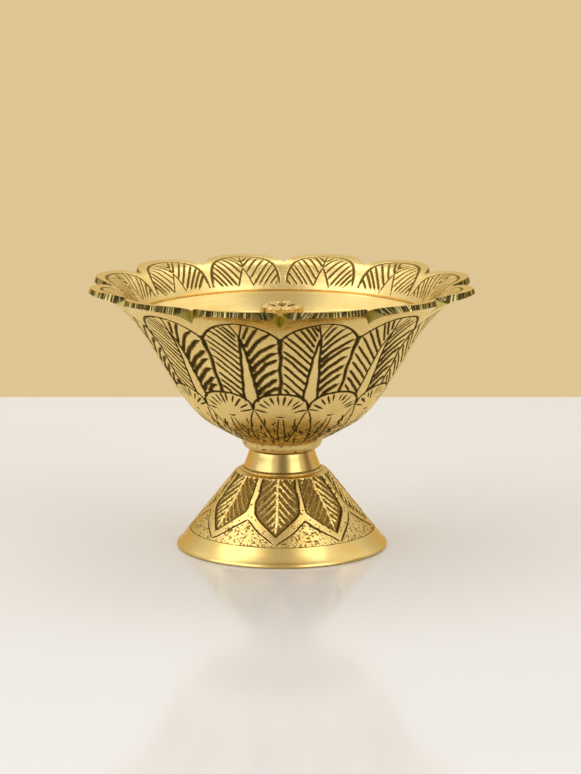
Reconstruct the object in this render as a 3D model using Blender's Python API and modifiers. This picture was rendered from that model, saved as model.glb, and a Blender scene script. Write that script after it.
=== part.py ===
"""Footed brass oil lamp (diya) with a scalloped, flared bowl.

The bowl and its conical pedestal are two castings held together by a stud on
the lamp's axis.  The stud also carries a turned post in the middle of the bowl,
and a small perforated wick cap sits loose on the post.

Metres, +Z up.  The origin is the centre of the pedestal's underside and the
lamp's front faces -Y.
"""
import math

import bmesh
import bpy
from mathutils import Matrix, Vector

MM = 0.001
OBJECT_NAME = "diya_oil_lamp"

# ---------------------------------------------------------------- dimensions
GAP = 0.3 * MM                    # air kept between pieces that touch

PETALS = 12
NOTCH_AZIMUTH = math.radians(-90.5)   # one notch lies almost straight in front
TIP_RADIUS = 51.8 * MM            # crown of a petal
NOTCH_RADIUS = 44.6 * MM          # bottom of the V between two petals
PETAL_FULLNESS = 2.3              # 2 is a parabola, more is squarer shoulders
LAMP_HEIGHT = 71.7 * MM

BOWL_FOOT_Z = 26.7 * MM           # underside of the bowl's foot ring
BOWL_FLOOR_Z = 31.8 * MM          # flat floor inside the bowl
BOWL_FLOOR_RADIUS = 9.5 * MM
LEDGE_RADIUS = 38.9 * MM          # step where the petals meet the turned bowl
LEDGE_Z = 63.5 * MM
LEDGE_STEP = 0.5 * MM
RIM_WALL = 1.9 * MM               # casting thickness just under the ledge
FLOOR_WALL = 2.8 * MM             # casting thickness near the foot

NECK_TOP_RADIUS = 8.9 * MM
NECK_FOOT_RADIUS = 10.6 * MM
NECK_FOOT_Z = 21.3 * MM
SHOULDER_RADIUS = 12.4 * MM
SHOULDER_Z = 20.6 * MM
BASE_RADIUS = 28.4 * MM
FOOT_LAND = 2.6 * MM              # width of the flat ring that the lamp stands on
WEB_UNDERSIDE_Z = 20.8 * MM       # ceiling of the hollow pedestal
WEB_FLAT_RADIUS = 7.9 * MM

STUD_RADIUS = 2.0 * MM            # M4
STUD_BOTTOM_Z = 13.4 * MM
STUD_TOP_Z = 41.0 * MM
CLEARANCE_RADIUS = 2.4 * MM       # holes that the stud passes through

NUT_ACROSS_FLATS = 7.0 * MM
NUT_HEIGHT = 3.2 * MM
NUT_CHAMFER = 0.5 * MM
WASHER_RADIUS = 6.0 * MM
WASHER_THICKNESS = 1.0 * MM
SPRING_WASHER_RADIUS = 3.8 * MM
SPRING_WASHER_THICKNESS = 0.9 * MM
SPRING_WASHER_SLOT = 0.5 * MM
SEAL_RADIUS = 5.6 * MM
SEAL_THICKNESS = 1.0 * MM

STEM_FOOT_RADIUS = 5.5 * MM
STEM_COLUMN_RADIUS = 2.9 * MM
STEM_SOCKET_RADIUS = 3.7 * MM     # column around the stud's thread
STEM_FLANGE_RADIUS = 5.6 * MM
STEM_FLANGE_Z = 62.4 * MM         # seat of the wick cap
STEM_SPIGOT_RADIUS = 4.5 * MM
CAP_RADIUS = 5.85 * MM
CAP_TOP_Z = 65.6 * MM
CAP_PLATE = 1.1 * MM
CAP_SKIRT = 1.0 * MM
CAP_HOLES = 6
CAP_HOLE_RADIUS = 0.85 * MM
CAP_HOLE_CIRCLE = 3.1 * MM

BOWL_SEGMENTS = 60
PEDESTAL_SEGMENTS = 48
SMALL_SEGMENTS = 24


# ------------------------------------------------------------------- helpers
def smooth_through(points, steps):
    """Catmull-Rom curve through 2D points, with the given steps per span."""
    ends = [2 * points[0] - points[1]] + points + [2 * points[-1] - points[-2]]
    curve = []
    for p0, p1, p2, p3 in zip(ends, ends[1:], ends[2:], ends[3:]):
        for step in range(steps):
            t = step / steps
            curve.append(0.5 * (2 * p1 + (p2 - p0) * t + (2 * p0 - 5 * p1 + 4 * p2 - p3) * t ** 2
                                + (3 * p1 - p0 - 3 * p2 + p3) * t ** 3))
    return curve + [points[-1]]


def millimetres(*pairs):
    """Radius and height pairs in millimetres, as 2D points in metres."""
    return [Vector(pair) * MM for pair in pairs]


def brass(name, colour, roughness, metallic=1.0):
    """Principled material of one piece."""
    material = bpy.data.materials.new(name)
    material.use_nodes = True
    shader = material.node_tree.nodes["Principled BSDF"]
    shader.inputs["Base Color"].default_value = (*colour, 1.0)
    shader.inputs["Roughness"].default_value = roughness
    shader.inputs["Metallic"].default_value = metallic
    return material


def turned(name, profile, segments, collection, closed):
    """Solid of revolution about Z: profile is (radius, height), outer side downwards."""
    mesh = bpy.data.meshes.new(name)
    count = len(profile)
    edges = [(i, (i + 1) % count) for i in range(count if closed else count - 1)]
    mesh.from_pydata([(radius, 0.0, height) for radius, height in profile], edges, [])
    piece = bpy.data.objects.new(name, mesh)
    collection.objects.link(piece)
    screw = piece.modifiers.new("turn", "SCREW")
    screw.axis = "Z"
    screw.angle = math.tau
    screw.steps = segments
    screw.render_steps = segments
    screw.use_merge_vertices = True
    screw.merge_threshold = 0.00001
    screw.use_smooth_shade = True
    return piece


def as_cutter(piece):
    """Mark a piece that only shapes another one."""
    piece.hide_render = True
    piece.display_type = "WIRE"
    return piece


def boolean(piece, cutter, operation):
    """Cut a piece with a cutter, or keep what is inside it."""
    modifier = piece.modifiers.new(operation.lower(), "BOOLEAN")
    modifier.object = cutter
    modifier.operation = operation
    modifier.solver = "EXACT"


def finished(piece, material, sharp_angle=32.0):
    """Bake the modifiers, shade the round surfaces smooth and assign the material."""
    bpy.context.view_layer.update()
    graph = bpy.context.evaluated_depsgraph_get()
    mesh = bpy.data.meshes.new_from_object(piece.evaluated_get(graph))
    piece.modifiers.clear()
    piece.data = mesh
    mesh.name = piece.name
    mesh.materials.clear()
    mesh.materials.append(material)
    mesh.shade_smooth()
    mesh.set_sharp_from_angle(angle=math.radians(sharp_angle))
    return piece


def prism(name, outline, bottom, top, collection):
    """Upright solid between two heights, from a flat closed outline."""
    curve = bpy.data.curves.new(name, "CURVE")
    curve.dimensions = "2D"
    curve.fill_mode = "BOTH"
    curve.extrude = (top - bottom) / 2
    spline = curve.splines.new("POLY")
    spline.points.add(len(outline) - 1)
    for point, (x, y) in zip(spline.points, outline):
        point.co = (x, y, 0.0, 1.0)
    spline.use_cyclic_u = True
    shape = bpy.data.objects.new(name, curve)
    shape.location.z = (top + bottom) / 2
    collection.objects.link(shape)
    bpy.context.view_layer.update()
    graph = bpy.context.evaluated_depsgraph_get()
    mesh = bpy.data.meshes.new_from_object(shape.evaluated_get(graph))
    body = bmesh.new()
    body.from_mesh(mesh)
    bmesh.ops.remove_doubles(body, verts=body.verts, dist=0.00001)
    bmesh.ops.recalc_face_normals(body, faces=body.faces)
    body.to_mesh(mesh)
    body.free()
    solid = bpy.data.objects.new(name + "_solid", mesh)
    solid.matrix_world = shape.matrix_world
    collection.objects.link(solid)
    bpy.data.objects.remove(shape)
    return as_cutter(solid)


def ring(name, inner, outer, bottom, top, collection, edge=0.0):
    """Turned ring with a rectangular section and, if asked, chamfered outer edges."""
    profile = [(inner, top), (outer - edge, top)]
    if edge:
        profile += [(outer, top - edge), (outer, bottom + edge)]
    profile += [(outer - edge, bottom), (inner, bottom)]
    return turned(name, profile, SMALL_SEGMENTS, collection, closed=True)


# ---------------------------------------------------------------------- bowl
def petal_radius(azimuth):
    """Radius of the scalloped rim: broad petal crowns between sharp notches."""
    pitch = math.tau / PETALS
    across = ((azimuth - NOTCH_AZIMUTH) / pitch) % 1.0 * 2.0 - 1.0
    return NOTCH_RADIUS + (TIP_RADIUS - NOTCH_RADIUS) * (1.0 - abs(across) ** PETAL_FULLNESS)


def bowl_outside():
    """Outside of the bowl from beyond the rim down to its foot ring."""
    return smooth_through(millimetres(
        (53.0, 70.7), (48.2, 69.15), (44.9, 67.0), (41.6, 64.0), (39.0, 61.0), (36.1, 57.0),
        (33.3, 52.0), (30.4, 47.0), (27.2, 42.0), (24.1, 38.0), (20.9, 35.0), (17.0, 32.6),
        (13.9, 30.8), (10.95, 29.3)), 2)


def bowl_inside(outside):
    """Turned inside of the bowl: the outside moved inwards by the casting's wall."""
    inside = []
    stations = outside[::2]
    for before, point, after in zip(stations, stations[1:], stations[2:]):
        along = (after - before).normalized()
        inwards = Vector((along.y, -along.x))
        depth = (LEDGE_Z - point.y) / (LEDGE_Z - BOWL_FLOOR_Z)
        wall = RIM_WALL + (FLOOR_WALL - RIM_WALL) * min(1.0, max(0.0, depth))
        moved = point + inwards * wall
        below_ledge = moved.x < LEDGE_RADIUS - 2 * LEDGE_STEP and moved.y < LEDGE_Z - 2 * LEDGE_STEP
        if below_ledge and moved.y > BOWL_FLOOR_Z + LEDGE_STEP and moved.x > BOWL_FLOOR_RADIUS:
            inside.append(moved)
    return inside


def bowl_profile():
    """Closed section of the bowl: petals, turned inside, floor, foot ring, outside."""
    outside = bowl_outside()
    petals = smooth_through(millimetres((53.0, 71.9), (TIP_RADIUS / MM, LAMP_HEIGHT / MM), (48.0, 71.3),
                                        (44.7, 70.2), (42.3, 68.2), (40.3, 65.6)), 2)
    ledge = [Vector((LEDGE_RADIUS, LEDGE_Z)),
             Vector((LEDGE_RADIUS - LEDGE_STEP, LEDGE_Z - 0.6 * LEDGE_STEP)),
             Vector((LEDGE_RADIUS - 1.5 * LEDGE_STEP, LEDGE_Z - 2.2 * LEDGE_STEP))]
    floor = [Vector((BOWL_FLOOR_RADIUS, BOWL_FLOOR_Z)), Vector((CLEARANCE_RADIUS, BOWL_FLOOR_Z))]
    foot = millimetres((CLEARANCE_RADIUS / MM, BOWL_FOOT_Z / MM), (9.0, BOWL_FOOT_Z / MM),
                       (9.6, 26.85), (10.3, 27.4), (10.65, 28.1), (10.75, 28.9))
    up_and_out = foot + outside[::-1]
    down_and_in = petals + ledge + bowl_inside(outside) + floor
    return (up_and_out + down_and_in)[::-1]


def make_bowl(parts, cutters, material):
    """Flared bowl whose rim is trimmed to twelve petals."""
    bowl = turned("bowl", bowl_profile(), BOWL_SEGMENTS, parts, closed=True)
    steps_per_petal = 6
    outline = []
    for step in range(PETALS * steps_per_petal):
        azimuth = NOTCH_AZIMUTH + math.tau * step / (PETALS * steps_per_petal)
        radius = petal_radius(azimuth)
        outline.append((radius * math.cos(azimuth), radius * math.sin(azimuth)))
    trim = prism("petal_outline", outline, -5 * MM, LAMP_HEIGHT + 5 * MM, cutters)
    boolean(bowl, trim, "INTERSECT")
    return finished(bowl, material)


# ------------------------------------------------------------------ pedestal
def pedestal_profile():
    """Closed section of the pedestal: polished neck, cone and hollow underside."""
    top = BOWL_FOOT_Z - GAP
    bevel = 0.25 * MM
    outside = [Vector((CLEARANCE_RADIUS, top)),
               Vector((NECK_TOP_RADIUS - bevel, top)),
               Vector((NECK_TOP_RADIUS, top - bevel)),
               Vector((NECK_FOOT_RADIUS, NECK_FOOT_Z)),
               Vector((NECK_FOOT_RADIUS + 0.5 * MM, NECK_FOOT_Z - 0.1 * MM)),
               Vector((NECK_FOOT_RADIUS + 0.6 * MM, NECK_FOOT_Z - 0.4 * MM)),
               Vector((SHOULDER_RADIUS - 0.6 * MM, SHOULDER_Z + 0.25 * MM)),
               Vector((SHOULDER_RADIUS, SHOULDER_Z - 0.1 * MM))]
    rim = millimetres((27.75, 1.2), (28.3, 0.75), (28.4, 0.4), (28.2, 0.1))
    land_outer = BASE_RADIUS - 0.5 * MM
    land = [Vector((land_outer, 0.0)), Vector((land_outer - FOOT_LAND, 0.0))]
    hollow = millimetres((24.9, 0.3), (19.0, 8.0), (13.1, 15.6), (11.4, 17.9),
                         (10.1, 19.6), (9.1, 20.5))
    ceiling = [Vector((WEB_FLAT_RADIUS, WEB_UNDERSIDE_Z)),
               Vector((CLEARANCE_RADIUS, WEB_UNDERSIDE_Z))]
    return outside + rim + land + hollow + ceiling


def make_pedestal(parts, material):
    """Conical hollow foot that carries the bowl."""
    pedestal = turned("pedestal", pedestal_profile(), PEDESTAL_SEGMENTS, parts, closed=True)
    return finished(pedestal, material)


# -------------------------------------------------------------- clamping set
def make_stud(parts, material):
    """Stud from the nut in the hollow foot up into the wick post."""
    lead = 0.4 * MM
    profile = [(0.0, STUD_TOP_Z), (STUD_RADIUS - lead, STUD_TOP_Z),
               (STUD_RADIUS, STUD_TOP_Z - lead), (STUD_RADIUS, STUD_BOTTOM_Z + lead),
               (STUD_RADIUS - lead, STUD_BOTTOM_Z), (0.0, STUD_BOTTOM_Z)]
    return finished(turned("tie_stud", profile, SMALL_SEGMENTS, parts, closed=False), material)


def make_underside_hardware(parts, cutters, steel):
    """Flat washer, split spring washer and hexagon nut under the pedestal's web."""
    washer_top = WEB_UNDERSIDE_Z - GAP
    spring_top = washer_top - WASHER_THICKNESS - GAP
    nut_top = spring_top - SPRING_WASHER_THICKNESS - GAP

    washer = ring("base_washer", CLEARANCE_RADIUS, WASHER_RADIUS,
                  washer_top - WASHER_THICKNESS, washer_top, parts, edge=0.15 * MM)
    finished(washer, steel)

    spring_bottom = spring_top - SPRING_WASHER_THICKNESS
    spring = ring("spring_washer", CLEARANCE_RADIUS, SPRING_WASHER_RADIUS,
                  spring_bottom, spring_top, parts)
    half = SPRING_WASHER_SLOT / 2
    slot = prism("spring_washer_slot", [(1 * MM, -half), (6 * MM, -half), (6 * MM, half), (1 * MM, half)],
                 spring_bottom - 1 * MM, spring_top + 1 * MM, cutters)
    boolean(spring, slot, "DIFFERENCE")
    finished(spring, steel)

    nut_bottom = nut_top - NUT_HEIGHT
    corner = NUT_ACROSS_FLATS / math.sqrt(3.0)
    nut = ring("hex_nut", STUD_RADIUS + GAP, corner + NUT_CHAMFER / 2,
               nut_bottom, nut_top, parts, edge=NUT_CHAMFER)
    hexagon = [(corner * math.cos(i * math.tau / 6), corner * math.sin(i * math.tau / 6))
               for i in range(6)]
    flats = prism("nut_flats", hexagon, nut_bottom - 1 * MM, nut_top + 1 * MM, cutters)
    boolean(nut, flats, "INTERSECT")
    finished(nut, steel, sharp_angle=20.0)


def make_seal(parts, material):
    """Fibre washer that keeps the oil in under the post's foot."""
    bottom = BOWL_FLOOR_Z + GAP
    seal = ring("seal_washer", CLEARANCE_RADIUS, SEAL_RADIUS, bottom, bottom + SEAL_THICKNESS, parts)
    return finished(seal, material)


# --------------------------------------------------------------- wick holder
def make_stem(parts, material):
    """Turned post screwed on the stud: foot, socket, bead, column and cap seat."""
    foot_z = BOWL_FLOOR_Z + GAP + SEAL_THICKNESS + GAP
    socket_top = STUD_TOP_Z + 1.0 * MM
    bore = STUD_RADIUS + GAP
    bead_z = 46.0 * MM
    flange_under = STEM_FLANGE_Z - 1.0 * MM
    spigot_top = CAP_TOP_Z - CAP_PLATE - GAP
    profile = [(0.0, spigot_top),
               (STEM_SPIGOT_RADIUS - 0.3 * MM, spigot_top),
               (STEM_SPIGOT_RADIUS, spigot_top - 0.3 * MM),
               (STEM_SPIGOT_RADIUS, STEM_FLANGE_Z),
               (STEM_FLANGE_RADIUS, STEM_FLANGE_Z),
               (STEM_FLANGE_RADIUS, flange_under),
               (STEM_COLUMN_RADIUS + 0.9 * MM, flange_under - 1.4 * MM),
               (STEM_COLUMN_RADIUS, flange_under - 3.4 * MM),
               (STEM_COLUMN_RADIUS, bead_z + 1.4 * MM),
               (STEM_COLUMN_RADIUS + 1.2 * MM, bead_z + 0.7 * MM),
               (STEM_COLUMN_RADIUS + 1.5 * MM, bead_z),
               (STEM_COLUMN_RADIUS + 1.2 * MM, bead_z - 0.7 * MM),
               (STEM_SOCKET_RADIUS, bead_z - 1.4 * MM),
               (STEM_SOCKET_RADIUS, foot_z + 4.2 * MM),
               (STEM_SOCKET_RADIUS + 0.6 * MM, foot_z + 2.6 * MM),
               (STEM_FOOT_RADIUS, foot_z + 1.6 * MM),
               (STEM_FOOT_RADIUS, foot_z),
               (bore, foot_z),
               (bore, socket_top),
               (0.0, socket_top + 1.0 * MM)]
    return finished(turned("wick_stem", profile, SMALL_SEGMENTS, parts, closed=False), material)


def make_wick_cap(parts, cutters, material):
    """Perforated cap that lifts off the post: a disc with a skirt and a ring of wick holes."""
    skirt_bottom = STEM_FLANGE_Z + GAP
    plate_bottom = CAP_TOP_Z - CAP_PLATE
    inner = CAP_RADIUS - CAP_SKIRT
    lip = 0.35 * MM
    profile = [(0.0, CAP_TOP_Z - lip / 2),
               (CAP_RADIUS - 1.6 * MM, CAP_TOP_Z - lip / 2),
               (CAP_RADIUS - 1.2 * MM, CAP_TOP_Z),
               (CAP_RADIUS - lip, CAP_TOP_Z),
               (CAP_RADIUS, CAP_TOP_Z - lip),
               (CAP_RADIUS, skirt_bottom),
               (inner, skirt_bottom),
               (inner, plate_bottom),
               (0.0, plate_bottom)]
    cap = turned("wick_cap", profile, 2 * SMALL_SEGMENTS, parts, closed=False)
    drill = bmesh.new()
    centres = [Vector((0.0, 0.0))]
    centres += [Vector((CAP_HOLE_CIRCLE * math.cos(turn), CAP_HOLE_CIRCLE * math.sin(turn)))
                for turn in (math.tau * (hole + 0.5) / CAP_HOLES for hole in range(CAP_HOLES))]
    for centre in centres:
        place = Matrix.Translation((centre.x, centre.y, CAP_TOP_Z))
        bmesh.ops.create_cone(drill, cap_ends=True, segments=12, radius1=CAP_HOLE_RADIUS,
                              radius2=CAP_HOLE_RADIUS, depth=6 * CAP_PLATE, matrix=place)
    mesh = bpy.data.meshes.new("wick_hole_drill")
    drill.to_mesh(mesh)
    drill.free()
    drills = as_cutter(bpy.data.objects.new("wick_hole_drill", mesh))
    cutters.objects.link(drills)
    boolean(cap, drills, "DIFFERENCE")
    return finished(cap, material)


# ---------------------------------------------------------------------- main
def main():
    for leftover in list(bpy.data.objects):
        bpy.data.objects.remove(leftover)
    parts = bpy.data.collections.new(OBJECT_NAME)
    cutters = bpy.data.collections.new("cutters")
    for collection in (parts, cutters):
        bpy.context.scene.collection.children.link(collection)

    cast_brass = brass("cast_brass", (0.72, 0.49, 0.17), 0.28)
    polished_brass = brass("polished_brass", (0.80, 0.58, 0.24), 0.18)
    turned_brass = brass("turned_brass", (0.76, 0.53, 0.20), 0.24)
    cap_brass = brass("wick_cap_brass", (0.66, 0.45, 0.17), 0.38)
    stud_brass = brass("stud_brass", (0.70, 0.50, 0.22), 0.35)
    zinc_steel = brass("zinc_plated_steel", (0.62, 0.62, 0.60), 0.35)
    fibre = brass("vulcanised_fibre", (0.30, 0.09, 0.05), 0.75, metallic=0.0)

    make_bowl(parts, cutters, cast_brass)
    make_pedestal(parts, polished_brass)
    make_stud(parts, stud_brass)
    make_underside_hardware(parts, cutters, zinc_steel)
    make_seal(parts, fibre)
    make_stem(parts, turned_brass)
    make_wick_cap(parts, cutters, cap_brass)


main()
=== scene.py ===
"""Looks of the footed brass oil lamp: engraved castings, turned and threaded parts, brass and studio."""
import math
import random

import bmesh
import bpy
import numpy as np
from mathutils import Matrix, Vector
from mathutils.geometry import delaunay_2d_cdt


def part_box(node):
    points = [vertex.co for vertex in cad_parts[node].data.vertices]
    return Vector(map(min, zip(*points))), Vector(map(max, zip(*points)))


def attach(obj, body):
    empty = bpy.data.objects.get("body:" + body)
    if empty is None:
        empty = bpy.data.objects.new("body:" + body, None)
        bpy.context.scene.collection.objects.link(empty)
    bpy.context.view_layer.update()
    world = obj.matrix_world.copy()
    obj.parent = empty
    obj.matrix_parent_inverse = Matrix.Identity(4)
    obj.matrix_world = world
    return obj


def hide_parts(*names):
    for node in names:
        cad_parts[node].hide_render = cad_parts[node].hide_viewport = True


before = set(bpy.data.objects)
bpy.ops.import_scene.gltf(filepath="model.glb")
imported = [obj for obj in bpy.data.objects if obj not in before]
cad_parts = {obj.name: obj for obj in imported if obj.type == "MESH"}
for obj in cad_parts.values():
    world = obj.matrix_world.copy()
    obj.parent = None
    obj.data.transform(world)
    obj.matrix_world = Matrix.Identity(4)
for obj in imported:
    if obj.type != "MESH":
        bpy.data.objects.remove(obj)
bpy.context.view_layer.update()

MM = 0.001
TURN = math.tau

# ------------------------------------------------------------ frame landmarks
bowl_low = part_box("bowl")[0]
pedestal_low, pedestal_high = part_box("pedestal")
cap_low, cap_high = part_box("wick_cap")
stem_low, stem_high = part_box("wick_stem")
stud_low, stud_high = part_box("tie_stud")

PETALS = 12
PETAL_PITCH = TURN / PETALS
NOTCH_AZIMUTH = math.radians(-90.5)
TIP_RADIUS = 51.8 * MM
NOTCH_RADIUS = 44.6 * MM
LEAVES = 8
LEAF_PITCH = TURN / LEAVES
LEAF_AZIMUTH = math.radians(-94.5)
CLEARANCE_RADIUS = 2.4 * MM       # holes that the stud passes through
THREAD_BORE = 2.3 * MM            # holes that the stud screws into
THREAD_PITCH = 0.7 * MM
ROUND_STEPS = 360                 # columns of every turned stretch of the castings
RIM_STEPS = 1440                  # columns of the filed rim


# --------------------------------------------------------------------- curves
def smooth_through(points, steps):
    """Catmull-Rom curve through 2D points, as rows."""
    points = [np.array(p, float) for p in points]
    ends = [2 * points[0] - points[1]] + points + [2 * points[-1] - points[-2]]
    rows = []
    for p0, p1, p2, p3 in zip(ends, ends[1:], ends[2:], ends[3:]):
        for t in np.arange(steps) / steps:
            rows.append(0.5 * (2 * p1 + (p2 - p0) * t + (2 * p0 - 5 * p1 + 4 * p2 - p3) * t ** 2
                               + (3 * p1 - p0 - 3 * p2 + p3) * t ** 3))
    return np.array(rows + [points[-1]])


def run_along(rows):
    """Distance along a polyline at each of its rows."""
    return np.concatenate([[0.0], np.cumsum(np.hypot(*np.diff(rows, axis=0).T))])


def ramp(value, low, high):
    """0 below low, 1 above high, smooth between."""
    t = np.clip((value - low) / (high - low), 0.0, 1.0)
    return t * t * (3.0 - 2.0 * t)


def about_axis(radius, azimuth, height):
    """Points, or directions, turned about the lamp's axis; any of the three may be an array."""
    across, aside = radius * np.cos(azimuth), radius * np.sin(azimuth)
    return np.stack(np.broadcast_arrays(across, aside, height), axis=-1)


def waver(rng, along, size, low, high):
    """Slow wave, size millimetres high, that turns low to high radians for each unit along."""
    return size * MM * np.sin(along * rng.uniform(low, high) + rng.uniform(0, 6))


# ----------------------------------------------------------------- mesh maker
def add_object(name, data):
    made = bpy.data.objects.new(name, data)
    bpy.context.scene.collection.objects.link(made)
    return made


class Casting:
    """One mesh, gathered patch by patch, with a normal, patina and file mark for each face corner."""

    def __init__(self, name):
        self.name = name
        self.points = []
        self.count = 0
        self.faces, self.normals, self.patina, self.mark, self.slots = [], [], [], [], []

    def add_points(self, points):
        self.points.append(np.asarray(points, float))
        ids = np.arange(self.count, self.count + len(points))
        self.count += len(points)
        return ids

    def add_faces(self, faces, normals, patina=0.0, mark=0.0, slot=0):
        """faces is (count, corners); normals, patina and mark hold one entry a corner."""
        faces = np.asarray(faces)
        self.faces.append(faces)
        self.normals.append(np.asarray(normals, float).reshape(-1, 3))
        self.patina.append(np.broadcast_to(patina, faces.shape).reshape(-1))
        self.mark.append(np.broadcast_to(mark, faces.shape).reshape(-1))
        self.slots.append(np.full(len(faces), slot))

    def revolve(self, profile, steps, slot=0, first=None, last=None, crease=38.0, patina=0.0):
        """Turned surface over (radius, height) rows; first and last may be rings that exist already.

        Patina is one value, or one for each row of faces.
        """
        profile = np.asarray(profile, float)
        azimuths = np.arange(steps) / steps * TURN
        rings = []
        for row, (radius, height) in enumerate(profile):
            if row == 0 and first is not None:
                rings.append(first)
            elif row == len(profile) - 1 and last is not None:
                rings.append(last)
            elif radius == 0.0:
                rings.append(self.add_points([(0.0, 0.0, height)]))
            else:
                rings.append(self.add_points(about_axis(radius, azimuths, height)))
        along = np.diff(profile, axis=0)
        along /= np.hypot(*along.T)[:, None]
        flat = np.stack([-along[:, 1], along[:, 0]], axis=1)
        cos_crease = math.cos(math.radians(crease))
        next_azimuths = azimuths + TURN / steps
        for row, (upper, lower) in enumerate(zip(rings, rings[1:])):
            before = flat[row - 1] if row and flat[row - 1] @ flat[row] > cos_crease else flat[row]
            has_next = row + 1 < len(flat) and flat[row + 1] @ flat[row] > cos_crease
            after = flat[row + 1] if has_next else flat[row]
            top, bottom = flat[row] + before, flat[row] + after
            corners = {"a": (top, azimuths), "d": (bottom, azimuths),
                       "c": (bottom, next_azimuths), "b": (top, next_azimuths)}
            spread = {}
            for key, (normal, turn) in corners.items():
                normal = normal / np.hypot(*normal)
                spread[key] = about_axis(normal[0], turn, normal[1])
            if len(upper) == 1:
                faces = np.stack([np.repeat(upper, steps), lower, np.roll(lower, -1)], axis=1)
                order = "adc"
            elif len(lower) == 1:
                faces = np.stack([upper, np.repeat(lower, steps), np.roll(upper, -1)], axis=1)
                order = "adb"
            else:
                faces = np.stack([upper, lower, np.roll(lower, -1), np.roll(upper, -1)], axis=1)
                order = "adcb"
            self.add_faces(faces, np.stack([spread[key] for key in order], axis=1), slot=slot,
                           patina=np.broadcast_to(patina, len(rings) - 1)[row])
        return rings

    def grid(self, points, slot=0, patina=0.0, mark=0.0, first=None, last=None, smooth=False):
        """Closed band between rings: points is (rings, columns, 3), ring 0 on the outer or upper side."""
        rings = []
        for row, ring in enumerate(points):
            if row == 0 and first is not None:
                rings.append(first)
            elif row == len(points) - 1 and last is not None:
                rings.append(last)
            else:
                rings.append(self.add_points(ring))
        mark = np.broadcast_to(mark, points.shape[:2])
        patina = np.broadcast_to(patina, points.shape[:2])
        down = np.gradient(points, axis=0)
        around = np.roll(points, -1, axis=1) - np.roll(points, 1, axis=1)
        soft = unit(np.cross(down, around))
        for row in range(len(points) - 1):
            picks = [(row, 0), (row + 1, 0), (row + 1, -1), (row, -1)]
            faces = np.stack([np.roll(rings[r], shift) for r, shift in picks], axis=1)
            corners = np.stack([np.roll(points[r], shift, axis=0) for r, shift in picks], axis=1)
            if smooth:
                normals = np.stack([np.roll(soft[r], shift, axis=0) for r, shift in picks], axis=1)
            else:
                normals = np.repeat(face_normals(corners)[:, None], 4, axis=1)
            self.add_faces(faces, normals, slot=slot,
                           patina=np.stack([np.roll(patina[r], shift) for r, shift in picks], axis=1),
                           mark=np.stack([np.roll(mark[r], shift) for r, shift in picks], axis=1))
        return rings

    def finish(self, materials, body, node, slot):
        """The mesh object, riding on its body in place of its CAD node."""
        mesh = bpy.data.meshes.new(self.name)
        faces = [row for patch in self.faces for row in patch.tolist()]
        mesh.from_pydata(np.concatenate(self.points).tolist(), [], faces)
        for material in materials:
            mesh.materials.append(material)
        mesh.polygons.foreach_set("material_index", np.concatenate(self.slots).astype(np.int32))
        mesh.polygons.foreach_set("use_smooth", np.ones(len(faces), bool))
        for name, values in (("patina", self.patina), ("mark", self.mark)):
            layer = mesh.attributes.new(name, "FLOAT", "CORNER")
            layer.data.foreach_set("value", np.concatenate(values).astype(np.float32))
        mesh.normals_split_custom_set(unit(np.concatenate(self.normals)).tolist())
        mesh.update()
        piece = add_object(self.name, mesh)
        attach(piece, body)
        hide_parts(node)
        return piece


def unit(vectors):
    """Vectors scaled to length one."""
    return vectors / np.maximum(np.linalg.norm(vectors, axis=-1, keepdims=True), 1e-12)


def face_normals(corners):
    """Normals of faces given as (count, 3 or 4, 3) corner points."""
    last = corners.shape[1] - 1
    return unit(np.cross(corners[:, 2] - corners[:, 0], corners[:, last] - corners[:, 1])
                if last == 3 else np.cross(corners[:, 1] - corners[:, 0], corners[:, 2] - corners[:, 0]))


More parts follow.
